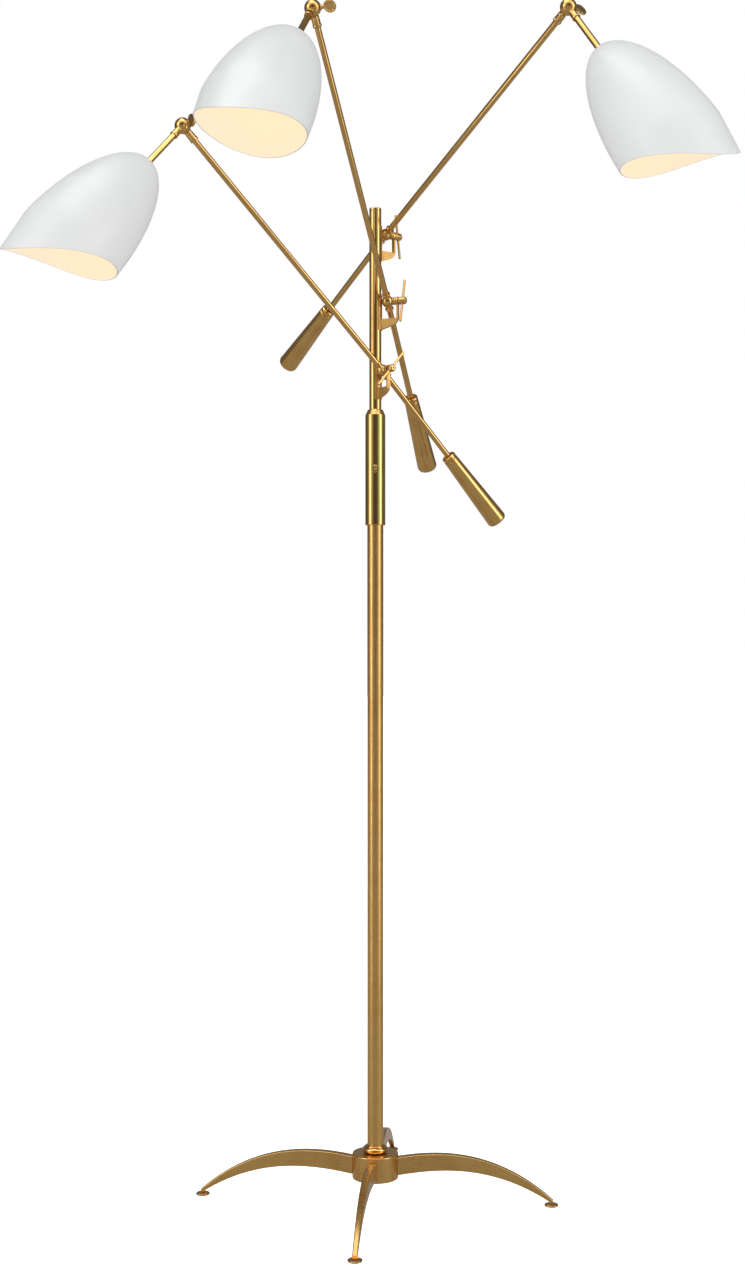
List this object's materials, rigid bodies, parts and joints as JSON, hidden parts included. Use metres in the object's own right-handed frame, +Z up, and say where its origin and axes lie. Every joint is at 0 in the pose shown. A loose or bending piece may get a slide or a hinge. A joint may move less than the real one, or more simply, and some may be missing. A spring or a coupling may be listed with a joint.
{
  "type": "adjustable arm floor lamp",
  "caption": "Floor lamp on arched legs: a sliding, turning mast carries counterweighted tilting arms in brass, each ending in a ball joint with an oblique white bell shade.",
  "frame": {"origin": "bottom centre of the lamp's whole box, on the floor, in the stored pose", "axes": "+Z up along the column; -Y towards the viewer of the picture, +X to the right. The column stands off the origin, because the arms reach further one way"},
  "size_m": [0.9976, 0.8871, 1.789],
  "materials": {
    "antique_brass": "hand-rubbed antique brass, satin with darkened edges",
    "white_enamel": "spun aluminium, satin white paint outside, warm cream inside",
    "cream_holder": "matte cream lamp-holder shell",
    "opal_glass": "opal glass bulb",
    "nylon": "black nylon"
  },
  "bodies": {
    "stand": {"hub": "antique_brass", "right_leg": "antique_brass", "back_leg": "antique_brass", "left_leg": "antique_brass", "front_leg": "antique_brass", "right_foot": "antique_brass", "back_foot": "antique_brass", "left_foot": "antique_brass", "front_foot": "antique_brass", "tie_bolt": "antique_brass", "cord_gland": "nylon", "column_ring": "antique_brass", "lower_tube": "antique_brass", "sleeve": "antique_brass"},
    "height_screw": {"height_screw": "antique_brass"},
    "slider": {"guide_bush": "nylon"},
    "mast": {"upper_tube": "antique_brass", "top_cap": "antique_brass", "top_bracket": "antique_brass", "top_clamp_ring": "antique_brass", "middle_bracket": "antique_brass", "middle_clamp_ring": "antique_brass", "bottom_bracket": "antique_brass", "bottom_clamp_ring": "antique_brass"},
    "top_arm": {"top_knuckle": "antique_brass", "top_arm_tube": "antique_brass", "top_weight_rod": "antique_brass", "top_counterweight": "antique_brass", "top_ball_arm_half": "antique_brass"},
    "top_clamp": {"top_t_handle": "antique_brass"},
    "top_head": {"top_ball_head_half": "antique_brass", "top_stem": "antique_brass", "top_lamp_holder": "cream_holder", "top_bulb": "opal_glass"},
    "top_wing": {"top_wing_screw": "antique_brass"},
    "top_shade": {"top_shade": "white_enamel"},
    "middle_arm": {"middle_knuckle": "antique_brass", "middle_arm_tube": "antique_brass", "middle_weight_rod": "antique_brass", "middle_counterweight": "antique_brass", "middle_ball_arm_half": "antique_brass"},
    "middle_clamp": {"middle_t_handle": "antique_brass"},
    "middle_head": {"middle_ball_head_half": "antique_brass", "middle_stem": "antique_brass", "middle_lamp_holder": "cream_holder", "middle_bulb": "opal_glass"},
    "middle_wing": {"middle_wing_screw": "antique_brass"},
    "middle_shade": {"middle_shade": "white_enamel"},
    "bottom_arm": {"bottom_knuckle": "antique_brass", "bottom_arm_tube": "antique_brass", "bottom_weight_rod": "antique_brass", "bottom_counterweight": "antique_brass", "bottom_ball_arm_half": "antique_brass"},
    "bottom_clamp": {"bottom_t_handle": "antique_brass"},
    "bottom_head": {"bottom_ball_head_half": "antique_brass", "bottom_stem": "antique_brass", "bottom_lamp_holder": "cream_holder", "bottom_bulb": "opal_glass"},
    "bottom_wing": {"bottom_wing_screw": "antique_brass"},
    "bottom_shade": {"bottom_shade": "white_enamel"}
  },
  "joints": [
    {"name": "mast_slide", "type": "slide", "parent": "stand", "child": "slider", "axis": [0, 0, 1], "range_m": [-0.015, 0.28]},
    {"name": "mast_swivel", "type": "hinge", "parent": "slider", "child": "mast", "pos_m": [0.016, 0.1561, 1.2], "axis": [0, 0, 1], "range_deg": [-170, 170]},
    {"name": "height_screw_turn", "type": "hinge", "parent": "stand", "child": "height_screw", "pos_m": [0.016, 0.1561, 1.159], "axis": [0, -1, 0], "range_deg": [0, 180]},
    {"name": "top_arm_tilt", "type": "hinge", "parent": "mast", "child": "top_arm", "pos_m": [0.03231, 0.16884, 1.535], "axis": [0.788, 0.6157, 0], "range_deg": [-37.7, 45.3]},
    {"name": "top_clamp_turn", "type": "hinge", "parent": "mast", "child": "top_clamp", "pos_m": [0.03231, 0.16884, 1.535], "axis": [0.788, 0.6157, 0], "range_deg": [0, 180]},
    {"name": "top_head_tilt", "type": "hinge", "parent": "top_arm", "child": "top_head", "pos_m": [0.28746, -0.15773, 1.77717], "axis": [0.7485, 0.6561, 0.0962], "range_deg": [-49.5, 29.5]},
    {"name": "top_wing_turn", "type": "hinge", "parent": "top_arm", "child": "top_wing", "pos_m": [0.28746, -0.15773, 1.77717], "axis": [0.7485, 0.6561, 0.0962], "range_deg": [0, 180]},
    {"name": "top_shade_turn", "type": "hinge", "parent": "top_head", "child": "top_shade", "pos_m": [0.32757, -0.19285, 1.70466], "axis": [0.4456, -0.3902, -0.8057], "range_deg": [-170, 170]},
    {"name": "middle_arm_tilt", "type": "hinge", "parent": "mast", "child": "middle_arm", "pos_m": [0.03556, 0.14933, 1.4245], "axis": [0.9449, -0.3272, 0], "range_deg": [-21.2, 61.8]},
    {"name": "middle_clamp_turn", "type": "hinge", "parent": "mast", "child": "middle_clamp", "pos_m": [0.03556, 0.14933, 1.4245], "axis": [0.9449, -0.3272, 0], "range_deg": [0, 180]},
    {"name": "middle_head_tilt", "type": "hinge", "parent": "middle_arm", "child": "middle_head", "pos_m": [-0.07196, -0.16117, 1.7744], "axis": [0.9384, -0.3451, -0.0179], "range_deg": [-58.8, 20.2]},
    {"name": "middle_wing_turn", "type": "hinge", "parent": "middle_arm", "child": "middle_wing", "pos_m": [-0.07196, -0.16117, 1.7744], "axis": [0.9384, -0.3451, -0.0179], "range_deg": [0, 180]},
    {"name": "middle_shade_turn", "type": "hinge", "parent": "middle_head", "child": "middle_shade", "pos_m": [-0.09426, -0.21838, 1.7086], "axis": [-0.2478, -0.6357, -0.7311], "range_deg": [-170, 170]},
    {"name": "bottom_arm_tilt", "type": "hinge", "parent": "mast", "child": "bottom_arm", "pos_m": [0.02727, 0.13874, 1.314], "axis": [0.5446, -0.8387, 0], "range_deg": [-24.9, 58.1]},
    {"name": "bottom_clamp_turn", "type": "hinge", "parent": "mast", "child": "bottom_clamp", "pos_m": [0.02727, 0.13874, 1.314], "axis": [0.5446, -0.8387, 0], "range_deg": [0, 180]},
    {"name": "bottom_head_tilt", "type": "hinge", "parent": "bottom_arm", "child": "bottom_head", "pos_m": [-0.26666, -0.05214, 1.64197], "axis": [0.5998, -0.7968, 0.0738], "range_deg": [-55.5, 23.5]},
    {"name": "bottom_wing_turn", "type": "hinge", "parent": "bottom_arm", "child": "bottom_wing", "pos_m": [-0.26666, -0.05214, 1.64197], "axis": [0.5998, -0.7968, 0.0738], "range_deg": [0, 180]},
    {"name": "bottom_shade_turn", "type": "hinge", "parent": "bottom_head", "child": "bottom_shade", "pos_m": [-0.31253, -0.09278, 1.57606], "axis": [-0.5097, -0.4515, -0.7324], "range_deg": [-170, 170]}
  ]
}
